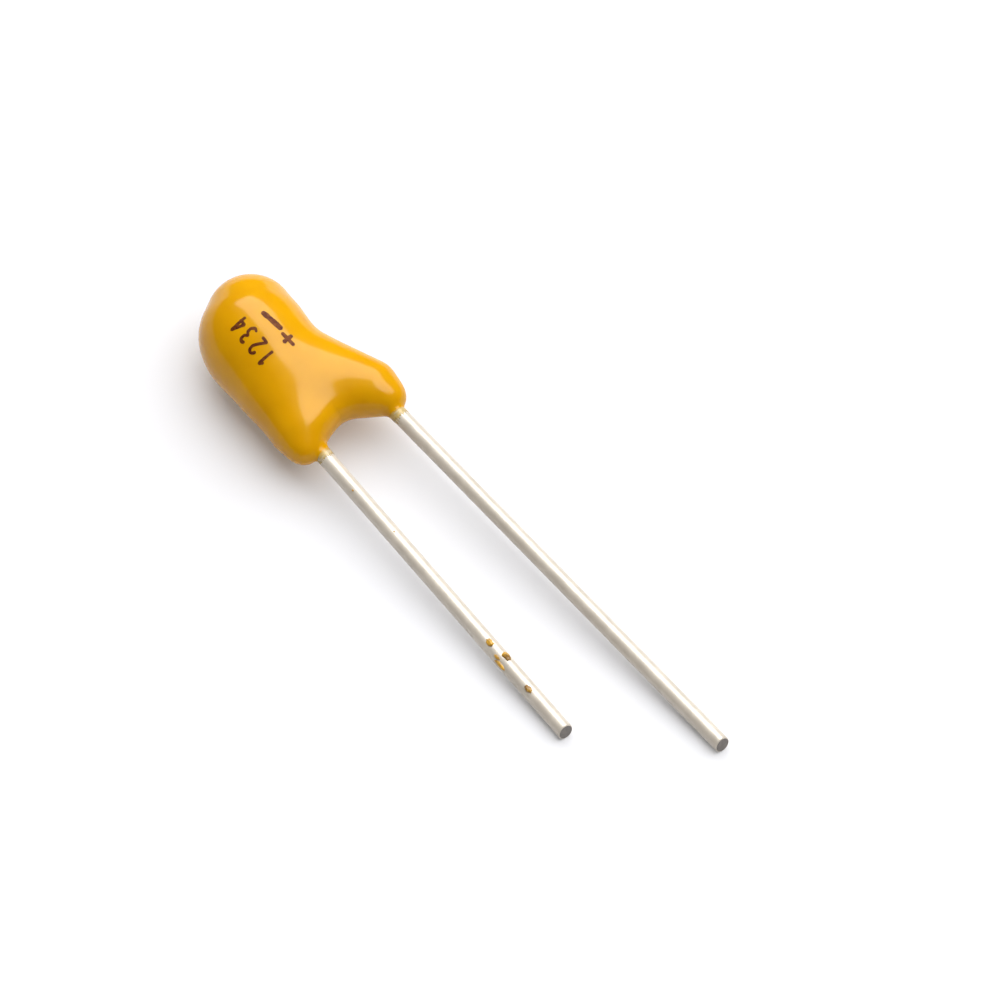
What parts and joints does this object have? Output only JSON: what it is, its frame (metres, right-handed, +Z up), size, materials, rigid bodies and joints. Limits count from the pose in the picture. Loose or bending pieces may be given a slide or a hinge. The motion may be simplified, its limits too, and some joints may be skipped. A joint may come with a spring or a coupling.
{
  "type": "tantalum capacitor",
  "caption": "Drop-shaped tantalum capacitor dipped in glossy yellow resin, lying on its side, with bare tinned wire leads of unequal length.",
  "frame": {"origin": "on the table under the middle of the whole, leads included", "axes": "+X the way the leads run out along the table, the negative lead's run being parallel to it in plan; +Y from the negative lead to the positive lead; +Z up from the table"},
  "size_m": [0.0208, 0.0045, 0.0033],
  "materials": {
    "resin": "glossy dipped epoxy, yellow-orange",
    "tantalum_sinter": "sintered, dull dark grey",
    "tantalum_wire": "drawn tantalum wire, satin",
    "washer": "plain white",
    "silver_paint": "silver paint, matt",
    "solder": "tin solder, satin",
    "tinned_wire": "tinned wire, warm grey, satin"
  },
  "bodies": {
    "root": {"resin_coat": "resin", "tantalum_pellet": "tantalum_sinter", "anode_wire": "tantalum_wire", "ptfe_washer": "washer", "silver_coat": "silver_paint", "solder_joint": "solder", "negative_lead": "tinned_wire", "positive_lead": "tinned_wire"}
  },
  "joints": []
}
